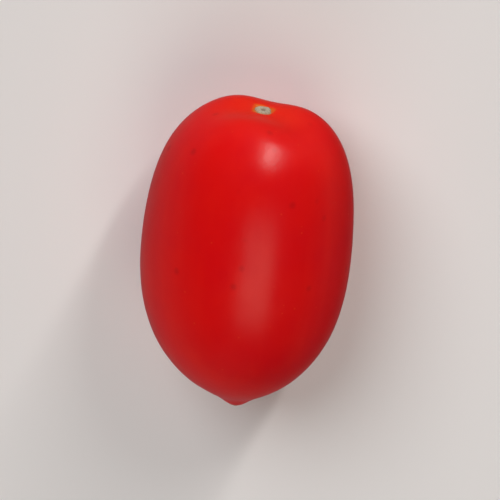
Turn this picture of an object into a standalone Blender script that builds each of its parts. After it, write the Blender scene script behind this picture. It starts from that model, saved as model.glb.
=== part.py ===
"""A cherry tomato of the small plum kind, as picked, lying on its side on a small flat spot.

Metres, +Z up. The fruit's long axis runs along Y, with the stem end at +Y and the blossom end at -Y.
The flat spot lies in the plane z = 0, and the fruit's outline is centred on x = 0, y = 0.
"""

import math

import bmesh
import bpy
from mathutils import Vector

# Overall sizes of the body, before its two ends are shaped and before it flattens where it rests.
BODY_LENGTH = 0.0397
BODY_WIDTH = 0.0270
BODY_HEIGHT = 0.02605

# How much blunter than an ellipsoid the body is at both ends, and how much more so at the stem end.
END_FULLNESS = 0.20
STEM_FULLNESS = 0.14

# The long axis bows sideways and upwards towards both ends, and leans a little towards the stem.
BOW_SIDEWAYS = 0.00055
BOW_UPWARDS = 0.00060
LEAN_SIDEWAYS = 0.00020

# Lobes over the seed chambers: a faint ripple round the flanks, and three raised shoulders.
LOBES = 3
LOBE_TURN = math.radians(-15.0)
FLANK_RIPPLE = 0.00008
SHOULDER_RISE = 0.00040
SHOULDER_RADIUS = 0.0068
SHOULDER_SLANT = 0.00055

# The stem end: a shallow dimple with the pit of the stem scar at its middle.
DIMPLE_DEPTH = 0.00135
DIMPLE_RADIUS = 0.0052
SCAR_RADIUS = 0.00115
SCAR_DEPTH = 0.00028
SCAR_EDGE = 0.00035

# The blossom end: a low cone that ends in a small blunt tip.
CONE_HEIGHT = 0.00080
CONE_RADIUS = 0.0050
TIP_HEIGHT = 0.00090
TIP_RADIUS = 0.0013

# How much of the underside is lost to the flat spot. Its rim is the only edge sharper than the angle.
FLAT_DEPTH = 0.00045
SHARP_ANGLE = math.radians(12.0)

# Mesh: facets round the fruit, rings from end to end, and how much closer the rings are at the ends.
FACETS = 60
RINGS = 42
RING_CROWDING = 0.80

SKIN_COLOUR = (0.60, 0.008, 0.010, 1.0)
SKIN_ROUGHNESS = 0.25


def new_collection(name):
    collection = bpy.data.collections.new(name)
    bpy.context.scene.collection.children.link(collection)
    return collection


def skin_material():
    material = bpy.data.materials.new("tomato_skin")
    material.use_nodes = True
    shader = material.node_tree.nodes["Principled BSDF"]
    shader.inputs["Base Color"].default_value = SKIN_COLOUR
    shader.inputs["Roughness"].default_value = SKIN_ROUGHNESS
    shader.inputs["Metallic"].default_value = 0.0
    material.diffuse_color = SKIN_COLOUR
    return material


def bell(distance, radius):
    """1 on the axis, falling smoothly to 0 a few radii away."""
    return math.exp(-((distance / radius) ** 2))


def scar_pit(distance):
    """How far the scar's pit sinks the skin: its full depth inside, and a short soft edge."""
    outside = (distance - SCAR_RADIUS) / SCAR_EDGE + 0.5
    outside = min(max(outside, 0.0), 1.0)
    return SCAR_DEPTH * (1.0 - outside * outside * (3.0 - 2.0 * outside))


def stem_end(y, distance, lobe, sideways, along):
    """The stem half: shoulders over the lobes, higher on one side, round the dimple and the scar."""
    rim = (distance / SHOULDER_RADIUS) ** 2
    y += SHOULDER_RISE * lobe * rim * math.exp(1.0 - rim)
    y -= SHOULDER_SLANT * sideways / (0.5 * BODY_WIDTH) * along**2
    return y - DIMPLE_DEPTH * bell(distance, DIMPLE_RADIUS) - scar_pit(distance)


def blossom_end(y, distance):
    """The blossom half: the low cone and its tip."""
    return y - CONE_HEIGHT * bell(distance, CONE_RADIUS) - TIP_HEIGHT * bell(distance, TIP_RADIUS)


def skin_point(polar, around):
    """The point of the skin at an angle from the stem end and an angle round the long axis."""
    along = math.cos(polar)
    lobe = math.cos(LOBES * (around - LOBE_TURN))
    swell = math.sin(polar) * (1.0 + END_FULLNESS * along**2 + STEM_FULLNESS * along**3)
    distance = 0.5 * BODY_WIDTH * swell + FLANK_RIPPLE * lobe * math.sin(polar) ** 3
    sideways = distance * math.sin(around)
    upwards = distance * math.cos(around) * BODY_HEIGHT / BODY_WIDTH
    y = 0.5 * BODY_LENGTH * along
    y = stem_end(y, distance, lobe, sideways, along) if along > 0.0 else blossom_end(y, distance)
    x = sideways + BOW_SIDEWAYS * along**2 + LEAN_SIDEWAYS * along
    return Vector((x, y, upwards + BOW_UPWARDS * along**2))


def shape_skin(mesh):
    """Moves the points of a round ball, with its poles on Z, onto the tomato's skin."""
    for vert in mesh.verts:
        polar = math.acos(min(max(vert.co.z, -1.0), 1.0))
        polar -= 0.5 * RING_CROWDING * math.sin(2.0 * polar)
        vert.co = skin_point(polar, math.atan2(vert.co.x, -vert.co.y))


def cut_flat_spot(mesh):
    """Cuts the underside off level and closes it with one flat face."""
    height = min(vert.co.z for vert in mesh.verts) + FLAT_DEPTH
    everything = list(mesh.verts) + list(mesh.edges) + list(mesh.faces)
    bmesh.ops.bisect_plane(
        mesh, geom=everything, plane_co=(0.0, 0.0, height), plane_no=(0.0, 0.0, -1.0), clear_outer=True
    )
    rim = [edge for edge in mesh.edges if edge.is_boundary]
    bmesh.ops.contextual_create(mesh, geom=rim)


def centre_on_flat_spot(mesh):
    """Puts the flat spot at z = 0 and the middle of the outline, seen from above, at x = y = 0."""
    low = [min(vert.co[axis] for vert in mesh.verts) for axis in range(3)]
    high = [max(vert.co[axis] for vert in mesh.verts) for axis in range(3)]
    middle = Vector((0.5 * (low[0] + high[0]), 0.5 * (low[1] + high[1]), low[2]))
    bmesh.ops.translate(mesh, verts=mesh.verts, vec=-middle)


def cherry_tomato(collection):
    """The whole fruit as one solid: it grew as one piece, and nothing of its inside shows."""
    ball = bmesh.new()
    bmesh.ops.create_uvsphere(ball, u_segments=FACETS, v_segments=RINGS, radius=1.0)
    shape_skin(ball)
    cut_flat_spot(ball)
    centre_on_flat_spot(ball)
    bmesh.ops.recalc_face_normals(ball, faces=ball.faces)
    mesh = bpy.data.meshes.new("cherry_tomato")
    ball.to_mesh(mesh)
    ball.free()
    mesh.materials.append(skin_material())
    mesh.shade_smooth()
    mesh.set_sharp_from_angle(angle=SHARP_ANGLE)
    collection.objects.link(bpy.data.objects.new("cherry_tomato", mesh))


for leftover in list(bpy.data.objects):
    bpy.data.objects.remove(leftover, do_unlink=True)
cherry_tomato(new_collection("cherry_tomato"))
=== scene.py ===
"""A ripe cherry tomato of the small plum kind, lying on its side on a pale floor in soft window light.

Metres, +Z up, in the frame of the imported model: the fruit's long axis runs along Y, its stem end at +Y,
and its flat spot lies in the plane z = 0.
"""

import math

import bpy
from mathutils import Matrix, Vector


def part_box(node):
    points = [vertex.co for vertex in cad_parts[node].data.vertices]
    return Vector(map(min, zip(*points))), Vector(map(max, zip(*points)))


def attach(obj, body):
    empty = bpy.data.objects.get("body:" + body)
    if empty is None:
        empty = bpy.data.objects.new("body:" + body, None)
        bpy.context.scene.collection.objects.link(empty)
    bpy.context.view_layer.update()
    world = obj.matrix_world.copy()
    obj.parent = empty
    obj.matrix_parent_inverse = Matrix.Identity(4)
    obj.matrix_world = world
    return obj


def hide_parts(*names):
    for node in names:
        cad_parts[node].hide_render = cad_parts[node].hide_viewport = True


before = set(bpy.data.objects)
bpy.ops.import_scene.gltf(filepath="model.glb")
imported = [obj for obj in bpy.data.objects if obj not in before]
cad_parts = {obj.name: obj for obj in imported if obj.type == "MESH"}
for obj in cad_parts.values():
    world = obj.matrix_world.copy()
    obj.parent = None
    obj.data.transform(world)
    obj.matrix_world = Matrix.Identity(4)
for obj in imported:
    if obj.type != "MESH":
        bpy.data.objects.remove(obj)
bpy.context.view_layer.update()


# ---- The skin of the fruit ----------------------------------------------------------------------------
# A ripe tomato shows nothing but its skin: a tight waxy film over wet flesh, grown in one piece. It swells
# a little over each seed chamber, draws in to the dimple of the stem, and ends in a small blunt tip. It
# has faint dents from its neighbours on the vine, and flattens where it lies.

fruit_low, fruit_high = (Vector(corner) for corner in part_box("cherry_tomato"))
fruit_size = fruit_high - fruit_low

# How much of the fruit's length the body makes up before its ends are shaped, and how much of its height is
# lost to the flat spot.
BODY_SHARE = 0.9794
FLAT_DEPTH = 0.00045

SKIN_SIZES = {
    "Segments": 320,
    "Rings": 250,
    "Ring crowding": 0.62,
    # The body is an egg with blunt ends: its size before the ends are shaped, and its swelling there.
    "Length": BODY_SHARE * fruit_size.y,
    "Width": fruit_size.x,
    "Height": fruit_size.z + FLAT_DEPTH,
    "End fullness": 0.20,
    "Stem fullness": 0.14,
    "Bow sideways": 0.00055,
    "Bow upwards": 0.00060,
    "Lean sideways": 0.00020,
    # Three seed chambers: a faint ripple round the flanks, and a raised shoulder over each.
    "Lobes": 3.0,
    "Lobe turn": math.radians(-15.0),
    "Flank ripple": 0.00008,
    "Shoulder rise": 0.00040,
    "Shoulder radius": 0.0068,
    "Shoulder slant": 0.00055,
    # The stem end: a shallow dimple, turned a little upwards in the middle, with the pit of the scar there
    # and faint puckers round it.
    "Dimple depth": 0.00112,
    "Dimple radius": 0.0052,
    "Scar radius": 0.00115,
    "Scar depth": 0.00018,
    "Scar edge": 0.00035,
    "Scar slant": 0.24,
    "Slant radius": 0.0044,
    "Pucker depth": 0.00006,
    "Pucker radius": 0.0018,
    "Puckers": 2.6,
    # The blossom end: a low cone that ends in a blunt tip.
    "Cone height": 0.00060,
    "Cone radius": 0.0052,
    "Tip height": 0.00108,
    "Tip radius": 0.0020,
    # What growth left on the surface: long swells, short swells and a few shallow dents.
    "Long swell depth": 0.00016,
    "Long swell width": 0.0110,
    "Short swell depth": 0.00003,
    "Short swell width": 0.0032,
    "Dents per square metre": 9000.0,
    "Dent depth": 0.00004,
    "Dent radius": 0.0014,
    # The flat spot that it lies on, and how softly the skin turns into it.
    "Flat depth": FLAT_DEPTH,
    "Flat softness": 0.00025,
    "Seed": 7,
}


def add(tree, kind, inputs=(), **settings):
    """Adds one node with its settings. Inputs go by name or by order; a node stands for its first output."""
    node = tree.nodes.new(kind)
    for setting, value in settings.items():
        setattr(node, setting, value)
    sockets = [socket for socket in node.inputs if socket.enabled]
    if isinstance(inputs, dict):
        pairs = [(next(s for s in sockets if s.name == name), value) for name, value in inputs.items()]
    else:
        pairs = zip(sockets, inputs)
    for socket, value in pairs:
        if isinstance(value, bpy.types.Node):
            value = next(output for output in value.outputs if output.enabled)
        if isinstance(value, bpy.types.NodeSocket):
            tree.links.new(value, socket)
        elif value is not None:
            socket.default_value = value
    return node


def new_tree(name, sizes):
    """Starts a Geometry Nodes tree with one named input for each size. Gives the tree and its inputs."""
    kinds = {
        float: "NodeSocketFloat",
        int: "NodeSocketInt",
        Vector: "NodeSocketVector",
        bpy.types.Material: "NodeSocketMaterial",
        bpy.types.Object: "NodeSocketObject",
    }
    tree = bpy.data.node_groups.new(name, "GeometryNodeTree")
    for size, value in sizes.items():
        tree.interface.new_socket(name=size, in_out="INPUT", socket_type=kinds[type(value)])
    tree.interface.new_socket(name="Mesh", in_out="OUTPUT", socket_type="NodeSocketGeometry")
    inputs = add(tree, "NodeGroupInput")
    return tree, {size: inputs.outputs[size] for size in sizes}


def grow(name, tree, sizes):
    """Runs a tree with these sizes, and keeps the result as a plain mesh object."""
    piece = bpy.data.objects.new(name, bpy.data.meshes.new(name))
    bpy.context.scene.collection.objects.link(piece)
    modifier = piece.modifiers.new(name, "NODES")
    modifier.node_group = tree
    for socket in tree.interface.items_tree:
        if socket.in_out == "INPUT":
            modifier[socket.identifier] = sizes[socket.name]
    grown = piece.evaluated_get(bpy.context.evaluated_depsgraph_get())
    piece.data = bpy.data.meshes.new_from_object(grown)
    piece.modifiers.remove(modifier)
    piece.data.name = name
    return piece


def linear(hex_colour):
    """The linear colour, with alpha, of an sRGB hex value."""
    shares = [int(hex_colour[place : place + 2], 16) / 255.0 for place in (0, 2, 4)]
    return [s / 12.92 if s <= 0.04045 else ((s + 0.055) / 1.055) ** 2.4 for s in shares] + [1.0]


# How far it is from one mark of each kind to the next.
PATCH_SPACING = 0.012
STREAK_SPACING = 0.0018
FLECK_SPACING = 0.0014
SPECK_SPACING = 0.0035
WAVER_SPACING = 0.0016
RUBBED_SPACING = 0.004
GRAIN_SPACING = 0.0005
# Streaks are drawn out along the fruit by this share, the ring wavers by this much, the grain stands this
# high, and red light sinks this deep.
STREAK_STRETCH = 0.07
RING_WAVER = 0.0022
GRAIN_HEIGHT = 0.00002
LIGHT_DEPTH = 0.0025


def tomato_cuticle():
    """Ripe tomato skin: a clear waxy film over red flesh, so light sinks in, and gloss lies softly on top."""
    material = bpy.data.materials.new("tomato_cuticle")
    material.use_nodes = True
    tree = material.node_tree
    shader = tree.nodes["Principled BSDF"]
    place = add(tree, "ShaderNodeTexCoord").outputs["Object"]
    from_scar = add(tree, "ShaderNodeAttribute", attribute_name="from_scar").outputs["Fac"]
    from_tip = add(tree, "ShaderNodeAttribute", attribute_name="from_tip").outputs["Fac"]

    # Ripeness: patches 12 mm apart, from full red to a slightly more orange red.
    patches = add(tree, "ShaderNodeTexNoise", {"Vector": place, "Scale": 1 / PATCH_SPACING, "Detail": 3.0})
    patch_share = add(tree, "ShaderNodeMapRange", (patches, 0.35, 0.70))
    # Streaks 1.8 mm apart run from end to end, where the veins lie under the skin.
    long_way = add(tree, "ShaderNodeMapping", {"Vector": place, "Scale": (1.0, STREAK_STRETCH, 1.0)})
    streaks = add(
        tree, "ShaderNodeTexNoise", {"Vector": long_way, "Scale": 1 / STREAK_SPACING, "Detail": 2.0}
    )
    streak_share = add(tree, "ShaderNodeMapRange", (streaks, 0.45, 0.75, 0.0, 0.22))
    # Flecks: pale dots 0.25 mm wide in a third of the 1.4 mm cells, as on all ripe tomatoes. Specks: soft
    # darker dots 0.8 mm wide in two thirds of the 3.5 mm cells, where a leaf or an insect marked the skin.
    dot_shares = []
    for spacing, middle, edge, least, strength in (
        (FLECK_SPACING, 0.05, 0.13, 0.66, 0.35),
        (SPECK_SPACING, 0.02, 0.20, 0.35, 0.36),
    ):
        cells = add(tree, "ShaderNodeTexVoronoi", {"Vector": place, "Scale": 1 / spacing})
        dot = add(
            tree,
            "ShaderNodeMapRange",
            (cells.outputs["Distance"], middle, edge, 1.0, 0.0),
            interpolation_type="SMOOTHSTEP",
        )
        cell_pick = add(tree, "ShaderNodeSeparateColor", (cells.outputs["Color"],)).outputs["Red"]
        picked = add(tree, "ShaderNodeMath", (cell_pick, least), operation="GREATER_THAN")
        picked_dot = add(tree, "ShaderNodeMath", (dot, picked), operation="MULTIPLY")
        dot_shares.append(add(tree, "ShaderNodeMath", (picked_dot, strength), operation="MULTIPLY"))
    fleck_share, speck_share = dot_shares
    # The shoulders stay more orange, a wavering yellow-orange ring is left round the scar, and the blunt tip
    # is a little browner. Each fades with the distance from the scar or from the tip.
    waver = add(
        tree,
        "ShaderNodeTexNoise",
        {"Vector": place, "W": 2.0, "Scale": 1 / WAVER_SPACING, "Detail": 1.0},
        noise_dimensions="4D",
    )
    wavering = add(tree, "ShaderNodeMath", (waver, RING_WAVER, from_scar), operation="MULTIPLY_ADD")
    shoulder_share, ring_share, tip_share = (
        add(tree, "ShaderNodeMapRange", (*fading, 0.0), interpolation_type="SMOOTHSTEP")
        for fading in (
            (from_scar, 0.0015, 0.0090, 0.55),
            (wavering, 0.0019, 0.0028, 0.72),
            (from_tip, 0.0002, 0.0016, 0.5),
        )
    )
    # Each colour lies over the ones before it by its share.
    colour = linear("DC0512")
    for share, shade in (
        (patch_share, "E5120F"),
        (streak_share, "EC2013"),
        (fleck_share, "F05A30"),
        (speck_share, "A80610"),
        (shoulder_share, "EE2C0E"),
        (ring_share, "E07C20"),
        (tip_share, "9C1F15"),
    ):
        layers = {"Factor": share, "A": colour, "B": linear(shade)}
        colour = add(tree, "ShaderNodeMix", layers, data_type="RGBA")
    tree.links.new(colour.outputs["Result"], shader.inputs["Base Color"])

    # The wax is rubbed in places 4 mm apart, so the gloss is uneven.
    rubbed = add(tree, "ShaderNodeTexNoise", {"Vector": place, "Scale": 1 / RUBBED_SPACING, "Detail": 4.0})
    roughness = add(tree, "ShaderNodeMapRange", (rubbed, 0.3, 0.7, 0.28, 0.34))
    tree.links.new(roughness.outputs["Result"], shader.inputs["Roughness"])

    # Skin cells are too fine to show. Their orange-peel grain is drawn 0.5 mm from one swell to the next.
    grain = add(tree, "ShaderNodeTexNoise", {"Vector": place, "Scale": 1 / GRAIN_SPACING, "Detail": 1.0})
    bump = add(tree, "ShaderNodeBump", {"Strength": 0.5, "Distance": GRAIN_HEIGHT, "Height": grain})
    tree.links.new(bump.outputs["Normal"], shader.inputs["Normal"])

    shader.inputs["IOR"].default_value = 1.41
    # Red light goes ten times as far into the flesh as green and blue.
    shader.inputs["Subsurface Weight"].default_value = 0.5
    shader.inputs["Subsurface Radius"].default_value = (1.0, 0.10, 0.08)
    shader.inputs["Subsurface Scale"].default_value = LIGHT_DEPTH
    return material


# Each line works out one value for a point of a ball with its poles on Z: its name, how, and from what.
SKIN_RULE = [
    # The angle from the stem end, with the rings drawn closer at both ends, and the angle round the axis.
    ("ball angle", "ARCCOSINE", "ball z"),
    ("twice the angle", "MULTIPLY", "ball angle", 2.0),
    ("crowding wave", "SINE", "twice the angle"),
    ("half wave", "MULTIPLY", "crowding wave", 0.5),
    ("crowding", "MULTIPLY", "half wave", "Ring crowding"),
    ("polar", "SUBTRACT", "ball angle", "crowding"),
    ("down", "MULTIPLY", "ball y", -1.0),
    ("around", "ARCTAN2", "ball x", "down"),
    ("along", "COSINE", "polar"),
    ("across", "SINE", "polar"),
    ("along squared", "MULTIPLY", "along", "along"),
    # The blunted ellipsoid's distance from the long axis, with the ripple of the lobes.
    ("lobe angle", "SUBTRACT", "around", "Lobe turn"),
    ("lobe phase", "MULTIPLY", "lobe angle", "Lobes"),
    ("lobe", "COSINE", "lobe phase"),
    ("fullness", "MULTIPLY_ADD", "along", "Stem fullness", "End fullness"),
    ("blunting", "MULTIPLY_ADD", "fullness", "along squared", 1.0),
    ("swell", "MULTIPLY", "across", "blunting"),
    ("flank share", "POWER", "across", 3.0),
    ("flank ripple", "MULTIPLY", "flank share", "Flank ripple"),
    ("ripple", "MULTIPLY", "flank ripple", "lobe"),
    ("half width", "MULTIPLY", "Width", 0.5),
    ("distance", "MULTIPLY_ADD", "half width", "swell", "ripple"),
    ("sine", "SINE", "around"),
    ("cosine", "COSINE", "around"),
    ("sideways", "MULTIPLY", "distance", "sine"),
    ("evenly upwards", "MULTIPLY", "distance", "cosine"),
    ("flatness", "DIVIDE", "Height", "Width"),
    ("upwards", "MULTIPLY", "evenly upwards", "flatness"),
    # The shoulders rise over the lobes and are higher on one side.
    ("rim distance", "DIVIDE", "distance", "Shoulder radius"),
    ("rim", "MULTIPLY", "rim distance", "rim distance"),
    ("inside rim", "SUBTRACT", 1.0, "rim"),
    ("rim fall", "EXPONENT", "inside rim"),
    ("rim share", "MULTIPLY", "rim", "rim fall"),
    ("rim lobe", "MULTIPLY", "rim share", "lobe"),
    ("shoulder", "MULTIPLY", "rim lobe", "Shoulder rise"),
    ("side share", "DIVIDE", "sideways", "half width"),
    ("slant share", "MULTIPLY", "side share", "along squared"),
    ("slant", "MULTIPLY", "slant share", "Shoulder slant"),
    ("level shoulder", "SUBTRACT", "shoulder", "slant"),
]
# The dimple, the upwards turn of its middle, the cone and the tip are bells: highest on the axis, and gone a
# few radii away from it. The tip is a little blunter than the others.
for bell, radius, bluntness in (
    ("dimple", "Dimple radius", 2.0),
    ("turned", "Slant radius", 2.0),
    ("cone", "Cone radius", 2.0),
    ("tip", "Tip radius", 2.2),
):
    SKIN_RULE += [
        (bell + " distance", "DIVIDE", "distance", radius),
        (bell + " fall", "POWER", bell + " distance", bluntness),
        (bell + " power", "MULTIPLY", bell + " fall", -1.0),
        (bell + " share", "EXPONENT", bell + " power"),
    ]
SKIN_RULE += [
    ("dimple", "MULTIPLY", "dimple share", "Dimple depth"),
    ("cone", "MULTIPLY", "cone share", "Cone height"),
    ("tip", "MULTIPLY", "tip share", "Tip height"),
    # The scar's pit has a level floor and a short soft edge.
    ("half edge", "MULTIPLY", "Scar edge", 0.5),
    ("pit floor", "SUBTRACT", "Scar radius", "half edge"),
    ("pit rim", "ADD", "Scar radius", "half edge"),
    # The place of the point: the two ends differ, and the long axis bows towards both.
    ("middle y", "MULTIPLY", "along", "Length"),
    ("plain y", "MULTIPLY", "middle y", 0.5),
    ("shouldered y", "ADD", "plain y", "level shoulder"),
    ("dimpled y", "SUBTRACT", "shouldered y", "dimple"),
    ("scar slope", "MULTIPLY", "turned share", "Scar slant"),
    ("scar drop", "MULTIPLY", "scar slope", "upwards"),
    ("slanted y", "SUBTRACT", "dimpled y", "scar drop"),
    ("coned y", "SUBTRACT", "plain y", "cone"),
    ("blossom y", "SUBTRACT", "coned y", "tip"),
    ("bow sideways", "MULTIPLY", "along squared", "Bow sideways"),
    ("lean sideways", "MULTIPLY_ADD", "along", "Lean sideways", "bow sideways"),
    ("skin x", "ADD", "sideways", "lean sideways"),
    ("skin z", "MULTIPLY_ADD", "along squared", "Bow upwards", "upwards"),
    ("stem half", "GREATER_THAN", "along", 0.0),
    # The puckers: fine folds that run out from the scar and fade within a few millimetres.
    ("pucker reach", "DIVIDE", "distance", "Pucker radius"),
    ("pucker square", "MULTIPLY", "pucker reach", "pucker reach"),
    ("pucker inside", "SUBTRACT", 1.0, "pucker square"),
    ("pucker fall", "EXPONENT", "pucker inside"),
    ("pucker share", "MULTIPLY", "pucker square", "pucker fall"),
    ("pucker height", "MULTIPLY", "pucker share", "Pucker depth"),
]


def skin_tree(sizes):
    """The tree that shapes a ball into the fruit, adds what growth left on it, and flattens its underside."""
    tree, known = new_tree("tomato_skin", sizes)
    ball = add(
        tree,
        "GeometryNodeMeshUVSphere",
        {"Segments": known["Segments"], "Rings": known["Rings"], "Radius": 1.0},
    )
    position = add(tree, "GeometryNodeInputPosition")
    ball_axes = add(tree, "ShaderNodeSeparateXYZ", (position,))
    for axis in "XYZ":
        known["ball " + axis.lower()] = ball_axes.outputs[axis]
    for name, operation, *terms in SKIN_RULE:
        step = add(tree, "ShaderNodeMath", [known.get(term, term) for term in terms], operation=operation)
        known[name] = step.outputs[0]
    pit = add(
        tree,
        "ShaderNodeMapRange",
        (known["distance"], known["pit floor"], known["pit rim"], known["Scar depth"], 0.0),
        interpolation_type="SMOOTHSTEP",
    )
    stem_y = add(tree, "ShaderNodeMath", (known["slanted y"], pit), operation="SUBTRACT")
    is_stem = known["stem half"]
    skin_y = add(tree, "GeometryNodeSwitch", (is_stem, known["blossom y"], stem_y), input_type="FLOAT")
    skin_point = add(tree, "ShaderNodeCombineXYZ", (known["skin x"], skin_y, known["skin z"]))

    # The distances from the scar and from the tip are kept on the mesh, each far away on the other half.
    far_away = 1.0
    shape = ball
    for attribute, on_blossom_half, on_stem_half in (
        ("from_scar", far_away, known["distance"]),
        ("from_tip", known["distance"], far_away),
    ):
        halves = (is_stem, on_blossom_half, on_stem_half)
        kept = add(tree, "GeometryNodeSwitch", halves, input_type="FLOAT")
        shape = add(
            tree,
            "GeometryNodeStoreNamedAttribute",
            {"Geometry": shape, "Name": attribute, "Value": kept},
            data_type="FLOAT",
        )
    # Noise on the direction from the axis makes folds that run outwards from the scar, with no seam.
    direction = add(tree, "ShaderNodeCombineXYZ", (known["sine"], known["cosine"], 0.0))
    folds = add(tree, "ShaderNodeTexNoise", {"Vector": direction, "Scale": known["Puckers"], "Detail": 1.0})
    fold = add(tree, "ShaderNodeMath", (folds, 0.5), operation="SUBTRACT")
    fold = add(tree, "ShaderNodeMath", (fold, known["pucker height"]), operation="MULTIPLY")
    pucker = add(tree, "GeometryNodeSwitch", (is_stem, 0.0, fold), input_type="FLOAT")
    shape = add(
        tree,
        "GeometryNodeStoreNamedAttribute",
        {"Geometry": shape, "Name": "pucker", "Value": pucker},
        data_type="FLOAT",
    )
    shape = add(tree, "GeometryNodeSetPosition", {"Geometry": shape, "Position": skin_point})

    # Swells and puckers lift the skin along its normal.
    lift = add(tree, "GeometryNodeInputNamedAttribute", {"Name": "pucker"}, data_type="FLOAT").outputs[0]
    seed = known["Seed"]
    for swell in ("Long swell", "Short swell"):
        per_metre = add(tree, "ShaderNodeMath", (1.0, known[swell + " width"]), operation="DIVIDE")
        noise = add(
            tree,
            "ShaderNodeTexNoise",
            {"Vector": position, "W": seed, "Scale": per_metre, "Detail": 1.0},
            noise_dimensions="4D",
        )
        centred = add(tree, "ShaderNodeMath", (noise, 0.5), operation="SUBTRACT")
        lift = add(
            tree, "ShaderNodeMath", (centred, known[swell + " depth"], lift), operation="MULTIPLY_ADD"
        )
    # Dents: bells again, each round the nearest of some scattered points.
    dents = add(
        tree,
        "GeometryNodeDistributePointsOnFaces",
        {"Mesh": shape, "Density": known["Dents per square metre"], "Seed": seed},
        distribute_method="RANDOM",
    )
    to_dent = add(tree, "GeometryNodeProximity", (dents,), target_element="POINTS").outputs["Distance"]
    dent_ratio = add(tree, "ShaderNodeMath", (to_dent, known["Dent radius"]), operation="DIVIDE")
    dent_square = add(tree, "ShaderNodeMath", (dent_ratio, dent_ratio), operation="MULTIPLY")
    dent_power = add(tree, "ShaderNodeMath", (dent_square, -1.0), operation="MULTIPLY")
    dent_share = add(tree, "ShaderNodeMath", (dent_power,), operation="EXPONENT")
    dent = add(tree, "ShaderNodeMath", (dent_share, known["Dent depth"]), operation="MULTIPLY")
    lift = add(tree, "ShaderNodeMath", (lift, dent), operation="SUBTRACT")
    normal = add(tree, "GeometryNodeInputNormal")
    offset = add(tree, "ShaderNodeVectorMath", {"Vector": normal, "Scale": lift}, operation="SCALE")
    shape = add(tree, "GeometryNodeSetPosition", {"Geometry": shape, "Offset": offset})

    # The underside is pressed level, with a soft rim.
    extent = add(tree, "GeometryNodeBoundBox", (shape,))
    lowest = add(tree, "ShaderNodeSeparateXYZ", (extent.outputs["Min"],)).outputs["Z"]
    floor_level = add(tree, "ShaderNodeMath", (lowest, known["Flat depth"]), operation="ADD")
    axes = add(tree, "ShaderNodeSeparateXYZ", (position,))
    pressed = add(
        tree,
        "ShaderNodeMath",
        (axes.outputs["Z"], floor_level, known["Flat softness"]),
        operation="SMOOTH_MAX",
    )
    flattened = add(tree, "ShaderNodeCombineXYZ", (axes.outputs["X"], axes.outputs["Y"], pressed))
    shape = add(tree, "GeometryNodeSetPosition", {"Geometry": shape, "Position": flattened})

    # The fruit is moved and fitted to the box of the model's own solid, a change of well under 1 per cent.
    extent = add(tree, "GeometryNodeBoundBox", (shape,))
    corner = extent.outputs["Min"]
    reach = add(tree, "ShaderNodeVectorMath", (extent.outputs["Max"], corner), operation="SUBTRACT")
    fit = add(tree, "ShaderNodeVectorMath", (fruit_size, reach), operation="DIVIDE")
    inward = add(tree, "ShaderNodeVectorMath", (position, corner), operation="SUBTRACT")
    fitted = add(tree, "ShaderNodeVectorMath", (inward, fit, fruit_low), operation="MULTIPLY_ADD")
    shape = add(tree, "GeometryNodeSetPosition", {"Geometry": shape, "Position": fitted})

    shape = add(tree, "GeometryNodeRealizeInstances", (shape,))
    shape = add(tree, "GeometryNodeSetMaterial", {"Geometry": shape, "Material": known["Material"]})
    add(tree, "NodeGroupOutput", (shape,))
    return tree


SKIN_SIZES["Material"] = tomato_cuticle()
skin = grow("tomato_skin", skin_tree(SKIN_SIZES), SKIN_SIZES)
skin.data.shade_smooth()
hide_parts("cherry_tomato")
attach(skin, "root")


# ---- The two dry scars --------------------------------------------------------------------------------
# Where the stalk came away, a disc of dry cork fills the pit of the dimple: a raised rim, radial fibres,
# and a ring of bundle ends round a darker middle. A much smaller one is left where the flower dropped off.

STEM_SCAR_SIZES = {
    "Facets": 144,
    "Rings": 72,
    "Radius": 0.00104,
    # Its outline has a few slow lobes, and is ragged where the fibres end.
    "Lobes": 1.3,
    "Lobed share": 0.85,
    "Ragged share": 0.16,
    # Its edge lies just under the skin, and its underside is a shallow bowl within the flesh.
    "Edge depth": 0.00002,
    "Edge sharpness": 5.0,
    "Sunk depth": 0.00030,
    # Its top: a dome with a ridge near the edge and a pit in the middle. Places and widths are shares of
    # the way from the middle to the edge.
    "Dome height": 0.00024,
    "Rim height": 0.00009,
    "Rim place": 0.80,
    "Rim width": 0.13,
    "Pit depth": 0.00014,
    "Pit width": 0.30,
    # The bundles that fed the fruit end in a ring nearly half way out, and fibres run out to the rim.
    "Bundles": 6.0,
    "Bundle height": 0.00006,
    "Bundle place": 0.45,
    "Bundle width": 0.12,
    "Fibres": 7.0,
    "Fibre height": 0.00005,
    # Which end of the fruit it is on: 1 for the stem end, -1 for the blossom end.
    "End": 1.0,
    "Seed": 3,
}
BLOSSOM_SCAR_SIZES = STEM_SCAR_SIZES | {
    "Facets": 72,
    "Rings": 36,
    "Radius": 0.00036,
    "Sunk depth": 0.00010,
    "Dome height": 0.00008,
    "Rim height": 0.00004,
    "Pit depth": 0.00005,
    "Bundles": 4.0,
    "Bundle height": 0.00001,
    "Fibre height": 0.00002,
    "End": -1.0,
    "Seed": 5,
}

# Cork crumbles into grains of about this size.
CRUMB_SPACING = 0.00018
CRUMB_HEIGHT = 0.00003


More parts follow.
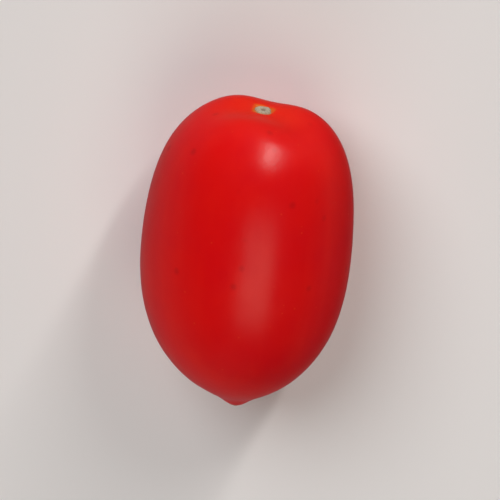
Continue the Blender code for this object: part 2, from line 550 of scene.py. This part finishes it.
def dry_cork(name, middle, ring, rim):
    """Dry corky tissue: matt and rough, with radial fibres that differ in colour, browner at the edge."""
    material = bpy.data.materials.new(name)
    material.use_nodes = True
    tree = material.node_tree
    shader = tree.nodes["Principled BSDF"]
    share = add(tree, "ShaderNodeAttribute", attribute_name="scar_share").outputs["Fac"]
    fan = add(tree, "ShaderNodeAttribute", attribute_name="scar_fan").outputs["Vector"]
    fibres = add(tree, "ShaderNodeTexNoise", {"Vector": fan, "Scale": 1.0, "Detail": 3.0})
    place = add(tree, "ShaderNodeTexCoord").outputs["Object"]
    crumbs = add(tree, "ShaderNodeTexNoise", {"Vector": place, "Scale": 1 / CRUMB_SPACING, "Detail": 3.0})
    # The crumbs shift the bounds between the colours in and out by up to 0.15 of the way to the edge.
    uneven = add(tree, "ShaderNodeMath", (crumbs, 0.30, share), operation="MULTIPLY_ADD")
    uneven = add(tree, "ShaderNodeMath", (uneven, 0.15), operation="SUBTRACT")
    colour = add(tree, "ShaderNodeValToRGB", (uneven,))
    ramp = colour.color_ramp
    ramp.elements[0].position, ramp.elements[0].color = 0.12, linear(middle)
    ramp.elements[1].position, ramp.elements[1].color = 0.42, linear(ring)
    for position, shade in ((0.78, ring), (0.95, rim)):
        ramp.elements.new(position).color = linear(shade)
    fibre_share = add(tree, "ShaderNodeMapRange", (fibres, 0.40, 0.65, 0.0, 0.55))
    layers = {"Factor": fibre_share, "A": colour, "B": linear(middle)}
    colour = add(tree, "ShaderNodeMix", layers, data_type="RGBA")
    tree.links.new(colour.outputs["Result"], shader.inputs["Base Color"])
    bump = add(tree, "ShaderNodeBump", {"Strength": 0.8, "Distance": CRUMB_HEIGHT, "Height": crumbs})
    tree.links.new(bump.outputs["Normal"], shader.inputs["Normal"])
    shader.inputs["Roughness"].default_value = 0.75
    return material


# As for the skin: the name, the operation and the terms of each value, for a point of a ball.
SCAR_RULE = (
    # The share of the way from the middle to the edge, the same on the top and on the underside.
    ("ball angle", "ARCCOSINE", "ball z"),
    ("half turns", "DIVIDE", "ball angle", 0.5 * math.pi),
    ("share", "PINGPONG", "half turns", 1.0),
    ("around", "ARCTAN2", "ball x", "ball y"),
    ("cosine", "COSINE", "around"),
    ("sine", "SINE", "around"),
    # The rim is a soft ridge near the edge, and the bundles stand in a ring nearly half way out.
    ("from rim", "SUBTRACT", "share", "Rim place"),
    ("rim ratio", "DIVIDE", "from rim", "Rim width"),
    ("rim square", "MULTIPLY", "rim ratio", "rim ratio"),
    ("rim power", "MULTIPLY", "rim square", -1.0),
    ("rim share", "EXPONENT", "rim power"),
    ("bundle phase", "MULTIPLY", "around", "Bundles"),
    ("bundle wave", "COSINE", "bundle phase"),
    ("from bundles", "SUBTRACT", "share", "Bundle place"),
    ("bundle ratio", "DIVIDE", "from bundles", "Bundle width"),
    ("bundle square", "MULTIPLY", "bundle ratio", "bundle ratio"),
    ("bundle power", "MULTIPLY", "bundle square", -1.0),
    ("bundle share", "EXPONENT", "bundle power"),
    ("bundle", "MULTIPLY", "bundle share", "bundle wave"),
    # The middle is a pit.
    ("pit ratio", "DIVIDE", "share", "Pit width"),
    ("pit square", "MULTIPLY", "pit ratio", "pit ratio"),
    ("pit power", "MULTIPLY", "pit square", -1.0),
    ("pit share", "EXPONENT", "pit power"),
    ("pit", "MULTIPLY", "pit share", "Pit depth"),
    # The fibres fade in from the middle outwards.
    ("fibre share", "MULTIPLY", "fibre", "share"),
    ("ridged", "MULTIPLY", "rim share", "Rim height"),
    ("bundled", "MULTIPLY_ADD", "bundle", "Bundle height", "ridged"),
    ("fibrous", "MULTIPLY_ADD", "fibre share", "Fibre height", "bundled"),
    ("domed", "ADD", "fibrous", "Dome height"),
    ("relief", "SUBTRACT", "domed", "pit"),
    # The top and the underside meet at the edge.
    ("edge power", "POWER", "share", "Edge sharpness"),
    ("inside", "SUBTRACT", 1.0, "edge power"),
    ("edge", "MULTIPLY", "Edge depth", -1.0),
    ("risen", "MULTIPLY", "inside", "relief"),
    ("top", "SUBTRACT", "risen", "Edge depth"),
    ("bowl", "MULTIPLY", "inside", "Sunk depth"),
    ("bottom", "SUBTRACT", "edge", "bowl"),
    ("is top", "GREATER_THAN", "ball z", 0.0),
)


# The rays that find the skin start this far outside it.
RAY_START = 0.01


def scar_tree(sizes):
    """The tree that flattens a ball to a disc and lays it on the skin, which it finds by casting rays."""
    tree, known = new_tree("dry_scar", sizes)
    ball = add(
        tree,
        "GeometryNodeMeshUVSphere",
        {"Segments": known["Facets"], "Rings": known["Rings"], "Radius": 1.0},
    )
    position = add(tree, "GeometryNodeInputPosition")
    ball_axes = add(tree, "ShaderNodeSeparateXYZ", (position,))
    for axis in "XYZ":
        known["ball " + axis.lower()] = ball_axes.outputs[axis]
    # Noise on a cylinder's coordinates makes fibres that run outwards, with no seam.
    level = add(tree, "ShaderNodeVectorMath", (position, (1.0, 1.0, 0.0)), operation="MULTIPLY")
    rim_way = add(tree, "ShaderNodeVectorMath", (level,), operation="NORMALIZE")
    fan = add(tree, "ShaderNodeVectorMath", {"Vector": rim_way, "Scale": known["Fibres"]}, operation="SCALE")
    fibre_noise = add(
        tree,
        "ShaderNodeTexNoise",
        {"Vector": fan, "W": known["Seed"], "Scale": 1.0, "Detail": 2.0},
        noise_dimensions="4D",
    )
    fibre = add(tree, "ShaderNodeMath", (fibre_noise, 0.5), operation="SUBTRACT")
    known["fibre"] = fibre.outputs[0]
    # A slower noise gives the outline a few uneven lobes.
    lobe_noise = add(
        tree,
        "ShaderNodeTexNoise",
        {"Vector": rim_way, "W": known["Seed"], "Scale": known["Lobes"], "Detail": 1.0},
        noise_dimensions="4D",
    )
    lobe = add(tree, "ShaderNodeMath", (lobe_noise, 0.5), operation="SUBTRACT")
    for name, operation, *terms in SCAR_RULE:
        step = add(tree, "ShaderNodeMath", [known.get(term, term) for term in terms], operation=operation)
        known[name] = step.outputs[0]
    height = add(
        tree,
        "GeometryNodeSwitch",
        (known["is top"], known["bottom"], known["top"]),
        input_type="FLOAT",
    )
    lobed = add(tree, "ShaderNodeMath", (lobe, known["Lobed share"], 1.0), operation="MULTIPLY_ADD")
    ragged = add(tree, "ShaderNodeMath", (fibre, known["Ragged share"], lobed), operation="MULTIPLY_ADD")
    reach = add(tree, "ShaderNodeMath", (ragged, known["Radius"]), operation="MULTIPLY")
    reach = add(tree, "ShaderNodeMath", (reach, known["share"]), operation="MULTIPLY")
    # The ball's pole points out of the fruit, along +Y at the stem end and -Y at the blossom end.
    outward = add(tree, "ShaderNodeCombineXYZ", (0.0, known["End"], 0.0))
    flipped = add(tree, "ShaderNodeMath", (known["End"], -1.0), operation="MULTIPLY")
    aside = add(tree, "ShaderNodeMath", (known["sine"], reach), operation="MULTIPLY")
    upwards = add(tree, "ShaderNodeMath", (known["cosine"], reach), operation="MULTIPLY")
    upwards = add(tree, "ShaderNodeMath", (upwards, flipped), operation="MULTIPLY")
    from_middle = add(tree, "ShaderNodeCombineXYZ", (aside, 0.0, upwards))
    start = add(tree, "ShaderNodeVectorMath", (from_middle, known["Middle"]), operation="ADD")
    away = add(tree, "ShaderNodeVectorMath", {"Vector": outward, "Scale": RAY_START}, operation="SCALE")
    start = add(tree, "ShaderNodeVectorMath", (start, away), operation="ADD")
    inward = add(tree, "ShaderNodeVectorMath", {"Vector": outward, "Scale": -1.0}, operation="SCALE")
    skin_mesh = add(tree, "GeometryNodeObjectInfo", {"Object": known["Skin"]}).outputs["Geometry"]
    cast = add(
        tree,
        "GeometryNodeRaycast",
        {
            "Target Geometry": skin_mesh,
            "Source Position": start,
            "Ray Direction": inward,
            "Ray Length": 2.0 * RAY_START,
        },
    )
    rise = add(tree, "ShaderNodeVectorMath", {"Vector": outward, "Scale": height}, operation="SCALE")
    laid = add(tree, "ShaderNodeVectorMath", (cast.outputs["Hit Position"], rise), operation="ADD")
    shape = add(
        tree,
        "GeometryNodeStoreNamedAttribute",
        {"Geometry": ball, "Name": "scar_share", "Value": known["share"]},
        data_type="FLOAT",
    )
    shape = add(
        tree,
        "GeometryNodeStoreNamedAttribute",
        {"Geometry": shape, "Name": "scar_fan", "Value": fan},
        data_type="FLOAT_VECTOR",
    )
    shape = add(tree, "GeometryNodeSetPosition", {"Geometry": shape, "Position": laid})
    shape = add(tree, "GeometryNodeRealizeInstances", (shape,))
    shape = add(tree, "GeometryNodeSetMaterial", {"Geometry": shape, "Material": known["Material"]})
    add(tree, "NodeGroupOutput", (shape,))
    return tree


def nearest_point(mesh, attribute):
    """The point of the mesh where the attribute is least."""
    values = [datum.value for datum in mesh.attributes[attribute].data]
    return mesh.vertices[values.index(min(values))].co


STEM_SCAR_SIZES["Material"] = dry_cork("stem_cork", "85705C", "BDB09B", "AC926C")
BLOSSOM_SCAR_SIZES["Material"] = dry_cork("blossom_cork", "6E3F2A", "A0603C", "8E4024")
for name, sizes, attribute in (
    ("stem_scar", STEM_SCAR_SIZES, "from_scar"),
    ("blossom_scar", BLOSSOM_SCAR_SIZES, "from_tip"),
):
    sizes |= {"Skin": skin, "Middle": nearest_point(skin.data, attribute)}
    scar = grow(name, scar_tree(sizes), sizes)
    scar.data.shade_smooth()
    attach(scar, "root")


# ---- The floor ----------------------------------------------------------------------------------------
# A sheet of matt off-white card that the fruit lies on. It is not part of the fruit.

FLOOR_RADIUS = 2.0


def white_card():
    """Matt off-white card: no gloss, so the fruit's soft shadow shows plainly on it."""
    material = bpy.data.materials.new("white_card")
    material.use_nodes = True
    shader = material.node_tree.nodes["Principled BSDF"]
    shader.inputs["Base Color"].default_value = linear("EEEBEB")
    shader.inputs["Roughness"].default_value = 0.9
    shader.inputs["Specular IOR Level"].default_value = 0.2
    return material


bpy.ops.mesh.primitive_circle_add(vertices=96, radius=FLOOR_RADIUS, fill_type="NGON")
floor = bpy.context.object
floor.name = "floor"
floor.data.materials.append(white_card())
# Its glare is kept out of the gloss: the fruit lay among darker things, so its rims stay deep red.
floor.visible_glossy = False


# ---- The light ----------------------------------------------------------------------------------------
# A tall window beyond the stem end gives the small bright gloss, and a large dim panel overhead the long
# soft one. Three wide soft lights, far away, light the flanks and the floor and leave no gloss.

FRUIT_CENTRE = 0.5 * (fruit_low + fruit_high)
LIGHT_DISTANCE = 0.9
FAR_LIGHT_ANGLE = math.radians(37.0)


def hang(name, lamp, azimuth, elevation, upright=(0.0, 0.0, 1.0)):
    """Hangs a light where it faces the fruit. Its azimuth runs from +Y towards +X, in degrees."""
    azimuth, elevation = math.radians(azimuth), math.radians(elevation)
    level = math.cos(elevation)
    towards = Vector((math.sin(azimuth) * level, math.cos(azimuth) * level, math.sin(elevation)))
    aside = Vector(upright).cross(towards).normalized()
    turn = Matrix((aside, towards.cross(aside), towards)).transposed().to_4x4()
    light = bpy.data.objects.new(name, lamp)
    light.matrix_world = Matrix.Translation(FRUIT_CENTRE + LIGHT_DISTANCE * towards) @ turn
    light.visible_camera = False
    bpy.context.scene.collection.objects.link(light)
    return light


def panel(name, azimuth, elevation, width, height, radiance, colour, **facing):
    """A soft rectangular light that shows in the gloss."""
    lamp = bpy.data.lights.new(name, "AREA")
    lamp.shape = "RECTANGLE"
    lamp.size = width
    lamp.size_y = height
    lamp.energy = radiance * math.pi * width * height
    lamp.color = linear(colour)[:3]
    hang(name, lamp, azimuth, elevation, **facing)


def far_light(name, azimuth, elevation, irradiance):
    """Wide soft light from so far away that it is even all over the floor. It leaves no gloss."""
    lamp = bpy.data.lights.new(name, "SUN")
    lamp.angle = FAR_LIGHT_ANGLE
    lamp.energy = irradiance
    hang(name, lamp, azimuth, elevation).visible_glossy = False


panel(
    "window",
    azimuth=23.5,
    elevation=27.5,
    width=0.060,
    height=0.62,
    radiance=31.0,
    colour="FFFBF6",
)
panel(
    "overhead_panel",
    azimuth=145.0,
    elevation=66.0,
    width=0.52,
    height=0.48,
    radiance=1.60,
    colour="FFF7E4",
    upright=(0.0, 1.0, 0.0),
)
far_light("daylight", azimuth=-36.0, elevation=49.0, irradiance=1.44)
far_light("near_wall", azimuth=-10.0, elevation=18.0, irradiance=0.14)
far_light("far_wall", azimuth=182.0, elevation=20.0, irradiance=0.72)

# The room: a pale backdrop for the camera. What the fruit sees of it is dim, and least dim low on the side
# away from the window.
PALE_SIDE = (-0.60, -0.45, -0.65)
DIM_STRENGTH = 0.02
PALE_SIDE_STRENGTH = 0.17
BACKDROP_STRENGTH = 0.72

room = bpy.data.worlds.new("pale_room")
bpy.context.scene.world = room
room.use_nodes = True
sky = room.node_tree
way = add(sky, "ShaderNodeTexCoord").outputs["Generated"]
pale_side = add(sky, "ShaderNodeVectorMath", (way, PALE_SIDE), operation="DOT_PRODUCT")
dimming = add(
    sky,
    "ShaderNodeMapRange",
    (pale_side.outputs["Value"], 0.20, 0.80, DIM_STRENGTH, PALE_SIDE_STRENGTH),
)
seen = add(sky, "ShaderNodeLightPath").outputs["Is Camera Ray"]
brightness = add(sky, "ShaderNodeMix", {"Factor": seen, "A": dimming, "B": BACKDROP_STRENGTH})
sky.links.new(brightness.outputs["Result"], sky.nodes["Background"].inputs["Strength"])
sky.nodes["Background"].inputs["Color"].default_value = linear("F6F4F5")


# ---- The camera ---------------------------------------------------------------------------------------
# It looks steeply down on the fruit from the stem side, and is turned so that the stem end is at the top
# of the picture and leans a little to the right. The sensor is given in millimetres, as cameras are.

CAMERA_DISTANCE = 0.60
CAMERA_TILT = math.radians(18.0)
CAMERA_ROLL = math.radians(4.84)
CAMERA_ASIDE = (0.00055, 0.00065, 0.0)
FRAME_HEIGHT = 0.064
SENSOR_MM = 36.0

camera_data = bpy.data.cameras.new("camera")
camera_data.sensor_width = SENSOR_MM
camera_data.lens = SENSOR_MM * CAMERA_DISTANCE / FRAME_HEIGHT
camera_data.clip_start = 0.01
camera_data.clip_end = 10.0
camera = bpy.data.objects.new("camera", camera_data)
backwards = Vector((0.0, math.sin(CAMERA_TILT), math.cos(CAMERA_TILT)))
stemwards = Vector((0.0, math.cos(CAMERA_TILT), -math.sin(CAMERA_TILT)))
upright = Matrix((stemwards.cross(backwards), stemwards, backwards)).transposed().to_4x4()
turn = upright @ Matrix.Rotation(CAMERA_ROLL, 4, "Z")
aside = turn @ Vector(CAMERA_ASIDE)
camera.matrix_world = Matrix.Translation(FRUIT_CENTRE + aside + CAMERA_DISTANCE * backwards) @ turn
bpy.context.scene.collection.objects.link(camera)
bpy.context.scene.camera = camera
bpy.context.scene.view_settings.view_transform = "Standard"
